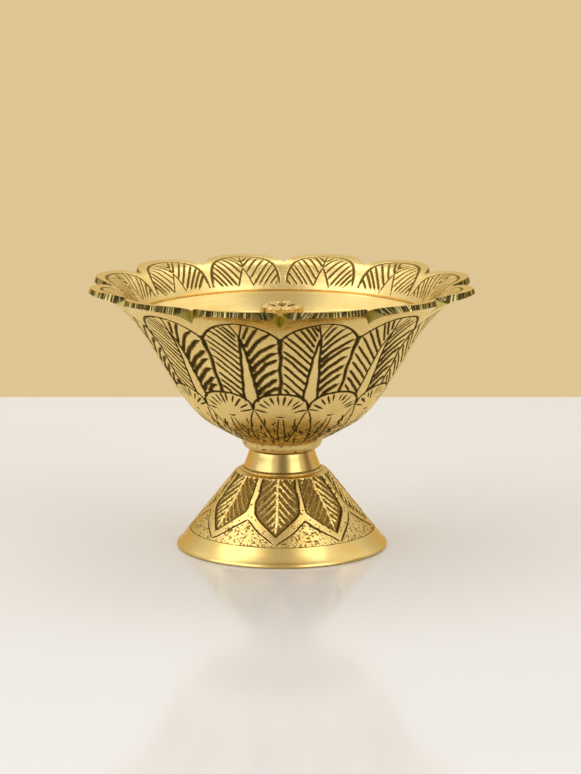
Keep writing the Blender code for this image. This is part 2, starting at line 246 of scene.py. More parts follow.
# ---------------------------------------------------------------- carved skin
class Skin:
    """A surface of revolution that a pattern is chiselled into.

    A place is (azimuth, run), run being the distance down the profile, from the
    zero radius if one is given.  The flat chart used for the triangulation keeps
    angles, so its radius shrinks by the run over the real radius.
    """

    def __init__(self, profile, outward, zero_radius=None, step=0.85 * MM):
        self.step = step
        self.radius, self.height = profile.T
        run = run_along(profile)
        self.run = run if zero_radius is None else run - np.interp(-zero_radius, -self.radius, run)
        mean = (self.radius[1:] + self.radius[:-1]) / 2
        self.shrink = np.concatenate([[0.0], np.cumsum(np.diff(run) / mean)])
        along = unit(np.gradient(profile, run, axis=0))
        self.across = outward * np.stack([-along[:, 1], along[:, 0]], axis=1)
        self.flip = outward > 0
        self.cuts = []

    def run_at(self, radius):
        return np.interp(-np.asarray(radius), -self.radius, self.run)

    def radius_at(self, run):
        return np.interp(run, self.run, self.radius)

    def chart(self, azimuth, run):
        rho = np.exp(-np.interp(run, self.run, self.shrink))
        return np.stack([rho * np.cos(azimuth), rho * np.sin(azimuth)], axis=-1)

    def unchart(self, flat):
        rho = np.hypot(flat[..., 0], flat[..., 1])
        return np.arctan2(flat[..., 1], flat[..., 0]), np.interp(-np.log(rho), self.shrink, self.run)

    def scale_at(self, run):
        """Chart units to one metre."""
        return np.exp(-np.interp(run, self.run, self.shrink)) / self.radius_at(run)

    def normal(self, azimuth, run):
        side = np.interp(run, self.run, self.across[:, 0])
        up = np.interp(run, self.run, self.across[:, 1])
        return unit(about_axis(side, azimuth, up))

    def point(self, azimuth, run, lift=0.0):
        base = about_axis(self.radius_at(run), azimuth, np.interp(run, self.run, self.height))
        return base + self.normal(azimuth, run) * np.asarray(lift)[..., None]

    def cut(self, azimuths, runs, width, depth, taper):
        """A cut along places, or a rib if depth is negative, its width and depth in millimetres.

        Taper is the share of its length over which each end fades.
        """
        azimuths, runs = np.asarray(azimuths, float), np.asarray(runs, float)
        length = run_along(np.stack([azimuths * self.radius_at(runs), runs], axis=1))
        shortest = 0.6 * MM
        if length[-1] < shortest:
            return
        count = max(3, int(round(length[-1] / self.step)) + 1)
        share = np.linspace(0.0, 1.0, count)
        azimuth = np.interp(share * length[-1], length, azimuths)
        run = np.interp(share * length[-1], length, runs)
        fade = np.minimum(np.minimum((share + 0.02) / max(taper[0], 0.02),
                                     (1.02 - share) / max(taper[1], 0.02)), 1.0) ** 0.6
        self.cuts.append((azimuth, run, width * MM / 2 * fade, depth * MM * fade))

    def cut_beside(self, azimuth, lateral, runs, width, depth, taper):
        """A cut at distances to one side of an azimuth."""
        self.cut(azimuth + lateral / self.radius_at(runs), runs, width, depth, taper)

    def reach(self, flat, azimuth, run):
        """Depth of the cuts and height of the ribs at chart points, and how far the nearest one's edge is."""
        scale = self.scale_at(run)
        depth, height = np.zeros(len(flat)), np.zeros(len(flat))
        clear = np.full(len(flat), 1.0)
        sectors = 24

        def sector_of(turn):
            return np.floor((turn % TURN) / TURN * sectors).astype(int) % sectors

        starts, ends, halves, depths, owner = [], [], [], [], []
        for azimuths, runs, half, deep in self.cuts:
            line = self.chart(azimuths, runs)
            starts.append(line[:-1])
            ends.append(line[1:])
            halves.append(np.stack([half[:-1], half[1:]], axis=1))
            depths.append(np.stack([deep[:-1], deep[1:]], axis=1))
            owner.append(sector_of((azimuths[:-1] + azimuths[1:]) / 2))
        starts, ends = np.concatenate(starts), np.concatenate(ends)
        halves, depths, owner = np.concatenate(halves), np.concatenate(depths), np.concatenate(owner)
        for one in range(sectors):
            here = np.flatnonzero(sector_of(azimuth) == one)
            near = np.flatnonzero(((owner - one + 1) % sectors) <= 2)
            if not len(here) or not len(near):
                continue
            spot = flat[here][:, None]
            a, b = starts[near][None], ends[near][None]
            way = b - a
            t = np.clip(((spot - a) * way).sum(-1) / np.maximum((way * way).sum(-1), 1e-18), 0.0, 1.0)
            gap = np.linalg.norm(spot - a - way * t[..., None], axis=-1) / scale[here][:, None]
            half = halves[near, 0] * (1 - t) + halves[near, 1] * t
            deep = depths[near, 0] * (1 - t) + depths[near, 1] * t
            bite = deep * np.clip(1.0 - gap / np.maximum(half, 1e-6), 0.0, 1.0)
            depth[here] = bite.max(axis=1).clip(min=0.0)
            height[here] = -bite.min(axis=1).clip(max=0.0)
            clear[here] = (gap - half).min(axis=1)
        return depth, height, clear

    def carve(self, casting, rim_azimuths, rim_runs, foot_run, spacing, field=None, slot=0, seed=1):
        """Triangulate between the two edges with every cut's middle and sides as mesh lines."""
        flats, edges = [], []
        count = 0

        def add_line(line, closed=False):
            nonlocal count
            ids = list(range(count, count + len(line)))
            flats.append(line)
            count += len(line)
            edges.extend(zip(ids, ids[1:]))
            if closed:
                edges.append((ids[-1], ids[0]))
            return ids

        rim_ids = add_line(self.chart(rim_azimuths, rim_runs), closed=True)
        foot_azimuths = np.arange(ROUND_STEPS) / ROUND_STEPS * TURN
        foot_ids = add_line(self.chart(foot_azimuths, np.full(ROUND_STEPS, foot_run)), closed=True)
        for azimuths, runs, half, _ in self.cuts:
            line = self.chart(azimuths, runs)
            way = unit(np.gradient(line, axis=0))
            side = np.stack([-way[:, 1], way[:, 0]], axis=1) * (half * self.scale_at(runs))[:, None]
            add_line(line)
            add_line(line + side)
            add_line(line - side)

        rng = np.random.default_rng(seed)
        rim_order = np.argsort(rim_azimuths % TURN)
        rim_turn, rim_edge = rim_azimuths[rim_order] % TURN, rim_runs[rim_order]

        def rim_run(azimuth):
            return np.interp(azimuth % TURN, rim_turn, rim_edge, period=TURN)

        fill_azimuth, fill_run = [], []
        for run in np.arange(rim_runs.min() + spacing / 2, foot_run - spacing / 2, spacing * 0.87):
            places = max(12, int(TURN * self.radius_at(run) / spacing))
            azimuth = (np.arange(places) + rng.random()) / places * TURN
            fill_azimuth.append(azimuth)
            fill_run.append(np.full(places, run) + rng.uniform(-0.12, 0.12, places) * spacing)
        fill_azimuth, fill_run = np.concatenate(fill_azimuth), np.concatenate(fill_run)
        inside = (fill_run > rim_run(fill_azimuth) + 0.35 * spacing) & (fill_run < foot_run - 0.3 * spacing)
        fill_azimuth, fill_run = fill_azimuth[inside], fill_run[inside]
        fill = self.chart(fill_azimuth, fill_run)
        clear = self.reach(fill, fill_azimuth, fill_run)[2]
        fill = fill[clear > min(0.22 * MM, 0.4 * spacing)]
        flats.append(fill)

        flat, _, faces, origins, _, _ = delaunay_2d_cdt(
            [Vector(p) for p in np.concatenate(flats)], edges, [], 0, 1e-7, True)
        flat = np.array([tuple(p) for p in flat])
        faces = np.array([f for f in faces if len(f) == 3])
        middle_azimuth, middle_run = self.unchart(flat[faces].mean(axis=1))
        faces = faces[(middle_run > rim_run(middle_azimuth)) & (middle_run < foot_run)]
        used = np.unique(faces)
        lookup = np.full(len(flat), -1)
        lookup[used] = np.arange(len(used))
        place_of = {}
        for new, sources in enumerate(origins):
            for source in sources:
                place_of[source] = new
        flat, faces = flat[used], lookup[faces]

        azimuth, run = self.unchart(flat)
        depth, height, _ = self.reach(flat, azimuth, run)
        black_depth = 0.16 * MM
        patina = np.clip(depth / black_depth, 0.0, 1.0)
        if field is not None:
            extra_depth, extra_patina = field(azimuth, run, rng)
            depth = depth + extra_depth - height
            patina = np.maximum(patina, extra_patina) * (1 - 0.9 * ramp(height, 0.02 * MM, 0.14 * MM))
        rim_new = lookup[[place_of[i] for i in rim_ids]]
        foot_new = lookup[[place_of[i] for i in foot_ids]]
        depth[rim_new] = 0.0
        depth[foot_new] = 0.0
        points = self.point(azimuth, run, -depth)
        points[rim_new] = self.point(rim_azimuths, rim_runs)
        points[foot_new] = self.point(foot_azimuths, np.full(ROUND_STEPS, foot_run))
        ids = casting.add_points(points)
        base = self.normal(azimuth, run)
        if self.flip:
            faces = faces[:, ::-1]
        wall = face_normals(points[faces])
        lean = 1.0 - np.einsum("ij,ikj->ik", wall, base[faces]).mean(axis=1)
        steep = ramp(lean, 0.004, 0.03)[:, None] * (0.55 + 0.45 * patina[faces])
        normals = base[faces] * (1 - steep[..., None]) + wall[:, None] * steep[..., None]
        casting.add_faces(ids[faces], normals, patina=patina[faces], slot=slot)
        return ids[rim_new], ids[foot_new]


# ----------------------------------------------------------------- bowl shape
CARVED, FILED, TURNED, FOOT_RING, PETAL_FACES, GROOVE = range(6)      # material slots of the bowl


def above_floor(*pairs):
    """Radius and height over the floor, in millimetres, as points in the frame."""
    return [(radius * MM, pedestal_low.z + height * MM) for radius, height in pairs]


BOWL_OUTSIDE = above_floor((53.0, 70.7), (48.2, 69.15), (44.9, 67.0), (41.6, 64.0), (39.0, 61.0),
                           (36.1, 57.0), (33.3, 52.0), (30.4, 47.0), (27.2, 42.0), (24.1, 38.0),
                           (20.9, 35.0), (17.0, 32.6), (13.9, 30.8), (10.95, 29.3))
PETAL_INSIDE = above_floor((53.0, 71.9), (51.8, 71.7), (48.0, 71.3), (44.7, 70.2), (42.3, 68.2),
                           (40.3, 65.6), (38.9, 63.5))


def petal_share(azimuth):
    """-1 to 1 across a petal, from notch to notch."""
    return ((azimuth - NOTCH_AZIMUTH) / PETAL_PITCH) % 1.0 * 2.0 - 1.0


def scallop(azimuth, fullness, front_cut=0.0):
    """Radius of the rim's outline: each petal a little different, the front notch cut deeper."""
    share = petal_share(azimuth)
    which = np.floor(((azimuth - NOTCH_AZIMUTH) / PETAL_PITCH) % PETALS)
    crown = TIP_RADIUS - 0.3 * MM * (1 + np.sin(which * 2.4)) / 2
    sway = 0.03 * np.sin(which * 1.7) * (1 - share ** 2)
    off_front = np.abs((azimuth - NOTCH_AZIMUTH + math.pi) % TURN - math.pi) / PETAL_PITCH
    radius = NOTCH_RADIUS + (crown - NOTCH_RADIUS) * (1.0 - np.abs(share + sway) ** fullness)
    return radius - front_cut * (1 - ramp(off_front, 0.0, 0.13))


def leaf_half(skin, run):
    """Half the width of one petal's share of the bowl at a run."""
    return PETAL_PITCH / 2 * skin.radius_at(run)


def longest(keep):
    """Slice over the longest unbroken run of true values."""
    edges = np.flatnonzero(np.diff(np.concatenate([[0], keep.astype(int), [0]])))
    starts, ends = edges[::2], edges[1::2]
    if not len(starts):
        return slice(0, 0)
    best = np.argmax(ends - starts)
    return slice(starts[best], ends[best])


def engrave_outside(skin, rng):
    """Twelve tall leaves with a plain spike, over a row of shells."""
    arch_top, arch_foot = 7.0 * MM, 14.3 * MM
    shell_top, shell_foot = 32.9 * MM, 38.4 * MM
    spike_tip = 13.2 * MM

    def arch_run(share):
        return arch_foot - (arch_foot - arch_top) * (1 - np.abs(share) ** 2.15)

    def shell_run(share):
        """Top of the shells, share 0 being the middle of a shell."""
        return shell_foot - (shell_foot - shell_top) * (1 - np.minimum(np.abs(share), 1) ** 2.2) ** (1 / 2.2)

    def spike_half(run):
        return 1.85 * MM * np.clip((run - spike_tip) / (20 * MM), 0, 1) ** 0.8

    for petal in range(PETALS):
        centre = NOTCH_AZIMUTH + (petal + 0.5) * PETAL_PITCH + rng.uniform(-0.006, 0.006)
        notch = NOTCH_AZIMUTH + petal * PETAL_PITCH

        share = np.linspace(-1, 1, 41)
        wobble = waver(rng, share, 0.12, 5, 9)
        skin.cut(centre + share * 0.985 * PETAL_PITCH / 2, arch_run(share) + wobble, rng.uniform(1.05, 1.3),
                 0.29, (0.03, 0.03))
        runs = np.linspace(arch_foot - 0.6 * MM, shell_top - 0.1 * MM, 26)
        sway = waver(rng, runs / MM, 0.16, 0.6, 1.1)
        skin.cut_beside(notch, sway, runs, rng.uniform(1.45, 1.75), 0.3, (0.03, 0.03))
        skin.cut_beside(notch, -sway[:8], runs[:8], 1.9, 0.24, (0.1, 0.6))
        for side in (-1, 1):
            runs = np.linspace(spike_tip, 35.2 * MM, 26)
            lateral = side * spike_half(runs) + waver(rng, runs / MM, 0.07, 0.7, 1.5)
            skin.cut_beside(centre, lateral, runs, rng.uniform(0.9, 1.25), 0.25, (0.05, 0.05))
        for lean in (-0.5, 0.55):
            runs = np.linspace(arch_top + 0.3 * MM, spike_tip + 0.5 * MM, 8)
            skin.cut_beside(centre, lean * (spike_tip - runs) * 0.55, runs, 0.75, 0.22, (0.1, 0.1))

        for side in (-1, 1):
            fine = side < 0
            start = 10.2 * MM + rng.uniform(0, 0.5) * MM
            while start < 46.0 * MM:
                u = np.linspace(0, 1, 60)
                high = 1 - ramp(start, 12 * MM, 24 * MM)
                slope = (1.0 + 0.7 * high if fine else 0.8 + 0.7 * high) * rng.uniform(0.94, 1.06)
                bend = rng.uniform(0.0, 0.12) if fine else rng.uniform(0.5, 0.8)
                inner = spike_half(start) + (0.1 + 0.9 * high) * MM
                reach = leaf_half(skin, start - 6 * MM) - inner
                run = start - slope * reach * (u + bend * u * (1 - u))
                run += waver(rng, u, 0.05 if fine else 0.14, 9, 15)
                lateral = inner + reach * u
                edge = leaf_half(skin, run)
                keep = (run > arch_run(np.minimum(lateral / edge, 1)) + (0.25 if fine else 0.4) * MM)
                keep &= (run < shell_run(1 - lateral / edge) - 0.35 * MM)
                keep &= (lateral < edge - (0.7 if fine else 0.85) * MM)
                keep &= (lateral > spike_half(run) + 0.1 * MM)
                part = longest(keep)
                if part.stop - part.start > 9:
                    width = rng.uniform(0.95, 1.2) if fine else rng.uniform(1.65, 2.0) * (1 - 0.3 * high)
                    skin.cut_beside(centre, side * lateral[part], run[part], width,
                                    0.21 if fine else 0.3, (0.08, 0.12) if fine else (0.04, 0.16))
                start += (2.15 if fine else 2.5 + 0.5 * high) * MM * rng.uniform(0.9, 1.1)

        share = np.linspace(-1, 1, 33)
        skin.cut(notch + share * PETAL_PITCH / 2, shell_run(share), 1.0, 0.27, (0.04, 0.04))
        for dash in range(10):
            lean = math.radians(-72 + 16 * dash + rng.uniform(-3, 3))
            reach = np.linspace(rng.uniform(3.0, 4.4), 7.2, 5) * MM
            run = 40.4 * MM - reach * math.cos(lean) * 0.98
            skin.cut_beside(notch, reach * math.sin(lean), run, rng.uniform(0.7, 1.05), 0.24, (0.4, 0.1))
        mark = np.linspace(-1, 1, 5)
        run = 41.3 * MM - 0.4 * MM * mark ** 2
        skin.cut_beside(notch, mark * 1.3 * MM, run, 0.8, 0.22, (0.3, 0.3))
        for side in (-1, 1):
            u = np.linspace(0, 1, 16)
            run = (38.6 + 17.6 * u) * MM
            skin.cut(notch + side * PETAL_PITCH / 2 * (1 - 0.62 * u ** 0.75), run, 0.6, 0.19, (0.08, 0.2))
            run = (41.8 + 13.8 * u) * MM
            skin.cut_beside(notch, side * (0.5 + 1.7 * u * (1 - u)) * MM, run, 0.55, 0.18, (0.1, 0.2))
            for nick in range(11):
                run = (41.6 + 1.35 * nick + rng.uniform(1.8, 3.4) * u) * MM
                turn = side * PETAL_PITCH / 2 * (rng.uniform(0.16, 0.9) + rng.uniform(-0.1, 0.25) * u)
                skin.cut(notch + turn, run, rng.uniform(0.5, 0.85), 0.19, (0.3, 0.3))


def low_bowl_painted_shade(azimuth, run, draws):
    """Painted shade and painted reflection of the base, low on the bowl: tarnish that rises towards the foot,
    speckled at random.
    """
    return np.zeros(len(run)), ramp(run, 40 * MM, 49 * MM) * (0.06 + 0.34 * draws.random(len(run)))


def engrave_inside(skin, rng):
    """Leaves on the inside of the petals, each rising from the ledge behind a plain wedge."""
    arch_top, ledge = 3.1 * MM, 15.3 * MM
    apex = 9.3 * MM
    arch_share = 0.92

    def arch_run(share):
        share = np.minimum(np.abs(share) / arch_share, 1)
        return ledge - (ledge - arch_top) * (1 - share ** 2.1) ** (1 / 2.1)

    for petal in range(PETALS):
        centre = NOTCH_AZIMUTH + (petal + 0.5) * PETAL_PITCH + rng.uniform(-0.008, 0.008)
        lean = rng.uniform(-1.0, 1.0) * MM

        def wedge(side, run):
            """Half width of the plain wedge, which leans a little to one side."""
            drop = np.clip((run - apex) / (ledge - apex), 0, 1)
            return (2.2 * MM + side * 0.6 * lean) * drop ** 0.85

        share = np.linspace(-0.917, 0.917, 45)
        run = np.minimum(arch_run(share), ledge - 0.15 * MM)
        skin.cut(centre + share * PETAL_PITCH / 2, run, rng.uniform(0.95, 1.2), 0.27, (0.05, 0.05))
        for side in (-1, 1):
            u = np.linspace(0, 1, 9)
            run = apex + (ledge - 0.2 * MM - apex) * u
            skin.cut_beside(centre, side * wedge(side, run), run, rng.uniform(0.55, 0.8), 0.22, (0.1, 0.05))
        run = np.linspace(arch_top + 0.5 * MM, apex, 8)
        skin.cut(np.full(8, centre), run, 0.65, 0.2, (0.2, 0.1))
        for side in (-1, 1):
            start = 6.6 * MM + rng.uniform(0, 0.8) * MM
            while start < ledge + 8.0 * MM:
                u = np.linspace(0, 1, 50)
                slope = rng.uniform(1.27, 1.37)
                inner = wedge(side, min(start, ledge)) + 0.2 * MM
                reach = arch_share * leaf_half(skin, 9 * MM) - inner
                run = start - slope * reach * (u + 0.2 * u * (1 - u))
                lateral = inner + reach * u
                leaf = lateral / leaf_half(skin, run)
                keep = (run > arch_run(np.minimum(leaf, arch_share)) + 0.35 * MM) & (run < ledge - 0.25 * MM)
                keep &= (leaf < arch_share - 0.03) & (lateral > wedge(side, run) + 0.15 * MM)
                part = longest(keep)
                if part.stop - part.start > 6:
                    skin.cut_beside(centre, side * lateral[part], run[part], rng.uniform(0.85, 1.1),
                                    0.25, (0.1, 0.15))
                start += rng.uniform(1.95, 2.15) * MM


def filed_rim(bowl, outer_ids, inner_ids, outer, inner, azimuths, rng):
    """The rim's edge: file strokes across it, and two clean facets where each notch was cut."""
    rows = 7
    columns = len(azimuths)
    share = petal_share(azimuths)
    column = np.arange(columns)
    clump = np.sin(column * 0.045) + np.sin(column * 0.117 + 2.0) + 0.7 * np.sin(column * 0.31 + 1.0)
    bright = rng.random(columns) > 0.68 - 0.05 * clump
    stroke = np.where(bright, rng.uniform(0.6, 1.0, columns), rng.uniform(0.0, 0.4, columns))
    slant = np.round(1.6 * np.sin(column * 0.029 + 0.7) ** 5).astype(int)
    dent = np.abs(rng.normal(0, 1, columns)) * (1 - 0.5 * bright)
    which = np.floor(((azimuths - NOTCH_AZIMUTH) / PETAL_PITCH + 0.5) % PETALS)
    smooth_side = np.where(np.sin(which * 2.9 + 0.5) > 0, 1, -1)
    points = np.zeros((rows, columns, 3))
    mark = np.zeros((rows, columns))
    facet = np.zeros((rows, columns))
    for row in range(rows):
        t = row / (rows - 1)
        flat = inner * (1 - t) + outer * t
        cut = ramp(np.abs(share), 0.93 - 0.17 * t, 0.945 - 0.17 * t)
        moved = (column + slant * row // 2) % columns
        push = -0.06 * MM * dent[moved] * (1 - cut) * math.sin(math.pi * t) ** 0.5
        points[row] = flat + unit(flat * [1, 1, 0]) * push[:, None]
        mark[row] = stroke[moved] * (1 - cut * 0.8)
        facet[row] = cut * np.where(np.sign(share) == -smooth_side, 1.0, 0.45)
    bowl.grid(points, slot=FILED, mark=mark, patina=facet, first=inner_ids, last=outer_ids)


def make_bowl(materials):
    """Bowl casting: engraved outside and petals, filed rim, turned inside, floor and foot ring."""
    bowl = Casting("bowl_casting")
    rng = random.Random(7)
    draws = np.random.default_rng(11)
    azimuths = NOTCH_AZIMUTH + np.arange(RIM_STEPS) / RIM_STEPS * TURN
    outside = Skin(smooth_through(BOWL_OUTSIDE, 40), 1, TIP_RADIUS)
    inside = Skin(smooth_through(PETAL_INSIDE, 40), -1, TIP_RADIUS)
    engrave_outside(outside, rng)
    engrave_inside(inside, rng)
    lip = 0.35 * MM * (1 - ramp(np.abs(petal_share(azimuths)), 0.7, 1.0))
    outer_runs = outside.run_at(scallop(azimuths, 2.35) + lip)
    inner_runs = inside.run_at(scallop(azimuths, 2.2, 0.8 * MM))
    spacing = 0.95 * MM
    # The outside's field paints shade low on the bowl, darker towards the foot.
    outer_rim, foot = outside.carve(bowl, azimuths, outer_runs, outside.run[-1], spacing, field=low_bowl_painted_shade,
                                    slot=CARVED, seed=3)
    inner_rim, ledge = inside.carve(bowl, azimuths, inner_runs, inside.run[-1], spacing,
                                    slot=PETAL_FACES, seed=5)
    filed_rim(bowl, outer_rim, inner_rim, outside.point(azimuths, outer_runs),
              inside.point(azimuths, inner_runs), azimuths, draws)

    hollow = smooth_through(above_floor((37.9, 62.2), (36.6, 60.9), (34.2, 58.2), (31.3, 53.2),
                                        (28.4, 48.3), (25.15, 43.4), (22.2, 39.7), (19.3, 37.15),
                                        (15.6, 34.9), (12.6, 32.9), (9.9, 31.8)), 3)[::-1]
    hollow = tool_marks(hollow, 0.012 * MM, 0.9 * MM, draws, spacing)
    step = above_floor((38.15, 62.45), (38.45, 62.85), (38.4, 63.0), (38.55, 63.25), (38.9, 63.5))
    foot_z = bowl_low.z
    under = [(10.95 * MM, foot_z + 2.6 * MM)]
    under += [(r * MM, foot_z + z * MM) for r, z in ((10.72, 2.36), (10.68, 2.1), (10.74, 1.8), (10.7, 1.45),
                                                     (10.55, 1.1), (10.3, 0.72), (9.95, 0.4), (9.6, 0.17),
                                                     (9.3, 0.05), (9.0, 0.0))]
    bore = [(CLEARANCE_RADIUS, foot_z), (CLEARANCE_RADIUS, hollow[0][1]), (6.0 * MM, hollow[0][1])]
    rings = bowl.revolve(under, ROUND_STEPS, slot=FOOT_RING, first=foot)
    for rows in ([[under[-1]], bore, hollow], [[hollow[-1]], step[:3]]):
        rings = bowl.revolve(np.concatenate(rows), ROUND_STEPS, slot=TURNED, first=rings[-1])
    # The ledge step is given the darker brass of painted shade.
    bowl.revolve(step[2:], ROUND_STEPS, slot=GROOVE, first=rings[-1], last=ledge)
    return bowl.finish(materials, "lamp", "bowl", "cast_brass")


# ------------------------------------------------------------- pedestal shape
RELIEF, POLISHED, RAW = range(3)      # material slots of the pedestal


def engrave_pedestal(skin, rng):
    """Eight sunken leaves with raised ribs, framed by plain bands."""
    widest, tip = 10.0 * MM, 16.8 * MM
    band_top, band_tip = 12.4 * MM, 19.5 * MM
    carving_foot = 20.7 * MM
    sunk_depth = 0.3 * MM

    def half_width(run):
        upper = (4.2 + 1.85 * ramp(run, -1 * MM, widest)) * MM
        lower = 6.05 * MM * (1 - (np.clip(run - widest, 0, None) / (tip - widest)) ** 1.2)
        return np.where(run < widest, upper, np.maximum(lower, 0.0))

    for leaf in range(LEAVES):
        centre = LEAF_AZIMUTH + leaf * LEAF_PITCH + rng.uniform(-0.02, 0.02)
        run = np.linspace(0.3 * MM, tip - 0.9 * MM, 22)
        skin.cut_beside(centre, waver(rng, run / MM, 0.15, 0.25, 0.5), run, 1.05, -0.38, (0.02, 0.12))
        for side in (-1, 1):
            run = np.linspace(0.25 * MM, tip + 0.1 * MM, 30)
            lateral = side * half_width(run) + waver(rng, run / MM, 0.1, 0.8, 1.6)
            skin.cut_beside(centre, lateral, run, 0.75, 0.2, (0.03, 0.03))
            u = np.linspace(0, 1, 14)
            run = band_top + (band_tip - band_top) * u
            skin.cut_beside(centre + side * LEAF_PITCH / 2 * (1 - u), waver(rng, run / MM, 0.16, 0.8, 1.4),
                            run, rng.uniform(0.55, 0.75), 0.2, (0.05, 0.15))
            start = -5.4 * MM + rng.uniform(0, 0.6) * MM
            while start < tip - 2.2 * MM:
                u = np.linspace(0, 1, 30)
                fall = rng.uniform(6.0, 7.2) * MM
                run = start + fall * u ** 0.9
                lateral = 0.3 * MM + 5.6 * MM * u
                keep = (lateral < half_width(run) - 0.5 * MM) & (run < tip - 0.8 * MM) & (run > 0.4 * MM)
                part = longest(keep)
                if part.stop - part.start > 4:
                    skin.cut_beside(centre, side * lateral[part], run[part], rng.uniform(0.85, 1.05),
                                    -rng.uniform(0.32, 0.42), (0.08, 0.2))
                start += rng.uniform(2.0, 2.35) * MM
    azimuth = np.linspace(0, TURN, 420)
    run = (carving_foot / MM + 0.2 * np.sin(azimuth * 5 + 1.0) + 0.14 * np.sin(azimuth * 13)) * MM
    skin.cut(azimuth, run, 0.55, 0.14, (0.0, 0.0))

    def field(azimuth, run, draws):
        """Sunken leaves, and hammered triangles below the bands."""
        lateral = ((azimuth - LEAF_AZIMUTH) / LEAF_PITCH + 0.5) % 1.0 - 0.5
        metres = np.abs(lateral) * LEAF_PITCH * skin.radius_at(run)
        sunk = ramp(half_width(run) - metres, -0.1 * MM, 0.25 * MM) * (run < tip) * (run > 0.2 * MM)
        band = band_tip - (band_tip - band_top) * np.abs(lateral) * 2
        hammered = ramp(run - band, 0.1 * MM, 0.5 * MM) * ramp(carving_foot - run, 0.0, 0.4 * MM)
        pits = draws.random(len(run))
        plain = (1 - sunk) * (1 - hammered) * (run < 20.4 * MM)
        depth = sunk * (sunk_depth + 0.05 * MM * (pits - 0.5)) + hammered * (0.04 + 0.15 * pits ** 2) * MM
        depth += plain * 0.06 * MM * (pits > 0.95)
        patina = np.maximum(hammered * (0.03 + 0.6 * pits ** 4), plain * (pits > 0.95) * 0.6)
        return depth, np.maximum(patina, sunk * (0.3 + 0.3 * pits))

    return field


def make_pedestal(materials):
    """Pedestal casting: polished neck, carved cone, polished rim and rough hollow."""
    pedestal = Casting("pedestal_casting")
    rng = random.Random(19)
    top = pedestal_high.z
    cone_top, cone_foot = (12.4 * MM, 20.5 * MM), (24.95 * MM, 4.75 * MM)
    skin = Skin(np.linspace(cone_top, cone_foot, 60), 1, step=0.5 * MM)
    field = engrave_pedestal(skin, rng)
    azimuths = np.arange(ROUND_STEPS) / ROUND_STEPS * TURN
    upper, lower = skin.carve(pedestal, azimuths, np.zeros(ROUND_STEPS), skin.run[-1], 0.42 * MM,
                              field=field, slot=RELIEF, seed=23)
    neck = [(CLEARANCE_RADIUS, top), (8.4 * MM, top), (8.62 * MM, top - 0.06 * MM),
            (8.75 * MM, top - 0.3 * MM)]
    neck += above_floor((9.1, 24.9), (9.75, 23.2), (10.3, 21.75))
    bead = above_floor((10.3, 21.75), (10.33, 21.5), (10.55, 21.35), (10.8, 21.35), (10.98, 21.2),
                       (11.0, 21.0), (10.95, 20.85), (11.2, 20.85), (11.8, 20.75), (12.4, 20.5))
    rings = pedestal.revolve(neck, ROUND_STEPS, slot=POLISHED)
    crown = rings[0]
    pedestal.revolve(bead, ROUND_STEPS, slot=RELIEF, first=rings[-1], last=upper, crease=60.0,
                     patina=np.array([0.5, 0.3, 0.0, 0.0, 0.0, 0.0, 0.15, 0.1, 0.0]))
    band = [cone_foot] + above_floor((26.2, 3.15), (27.3, 1.72), (27.9, 1.1), (28.25, 0.78), (28.38, 0.5),
                                     (28.3, 0.22), (28.1, 0.05), (27.9, 0.0))
    rings = pedestal.revolve(band, ROUND_STEPS, slot=POLISHED, first=lower)
    hollow = [band[-1], (25.3 * MM, 0.0)]
    hollow += above_floor((24.9, 0.3), (22.0, 4.05), (19.0, 8.0), (16.0, 11.85), (13.1, 15.6), (11.4, 17.9),
                          (10.1, 19.6), (9.1, 20.5), (7.9, 20.8), (2.4, 20.8))
    rings = pedestal.revolve(hollow, ROUND_STEPS, slot=RAW, first=rings[-1])
    pedestal.revolve([hollow[-1], neck[0]], ROUND_STEPS, slot=RAW, first=rings[-1], last=crown)
    return pedestal.finish(materials, "lamp", "pedestal", "pedestal_brass")


# ------------------------------------------------------------ smaller pieces
def rounded(points, radius, steps=3):
    """Profile with its inner corners rounded off."""
    points = [np.array(p, float) for p in points]
    rows = [points[0]]
    for before, corner, after in zip(points, points[1:], points[2:]):
        into, out = before - corner, after - corner
        reach = min(radius, 0.45 * np.hypot(*into), 0.45 * np.hypot(*out))
        start, end = corner + unit(into) * reach, corner + unit(out) * reach
        for t in np.linspace(0, 1, steps + 1):
            rows.append((1 - t) ** 2 * start + 2 * t * (1 - t) * corner + t * t * end)
    return np.array(rows + [points[-1]])


def tool_marks(profile, depth, pitch, rng, longest=0.4 * MM):
    """Profile cut up finely and stepped a little, as a lathe tool leaves it."""
    run = run_along(profile)
    places = np.unique(np.concatenate([np.arange(0, run[-1], longest), run]))
    places = places[np.concatenate([[True], np.diff(places) > 0.02 * MM])]
    rows = np.stack([np.interp(places, run, column) for column in np.asarray(profile).T], axis=1)
    along = unit(np.gradient(rows, axis=0))
    wave = depth * np.sin(places / pitch * TURN + rng.uniform(0, 6)) * rng.uniform(0.3, 1.0, len(places))
    wave[[0, -1]] = 0.0
    return rows + np.stack([-along[:, 1], along[:, 0]], axis=1) * wave[:, None]


def make_stud(material):
    """Threaded stud with chamfered ends."""
    stud = Casting("threaded_stud")
    steps, major, minor = 48, 2.0 * MM, 1.62 * MM
    top, bottom, lead = stud_high.z, stud_low.z, 0.4 * MM
    heights = np.linspace(top, bottom, 330)
    azimuths = np.arange(steps) / steps * TURN
    phase = (heights[:, None] / THREAD_PITCH - azimuths[None] / TURN) % 1.0
    thread = minor + (major - minor) * ramp(np.abs(phase * 2 - 1), 0.12, 0.88)
    to_end = np.minimum(top - heights, heights - bottom)[:, None]
    radius = np.minimum(thread, major - lead + to_end)
    rings = stud.grid(about_axis(radius, azimuths, heights[:, None]), smooth=True)
    end_radius = major - lead
    stud.revolve([(0.0, top), (end_radius, top)], steps, last=rings[0])
    stud.revolve([(end_radius, bottom), (0.0, bottom)], steps, first=rings[-1])
    return stud.finish([material], "lamp", "tie_stud", "stud_brass")


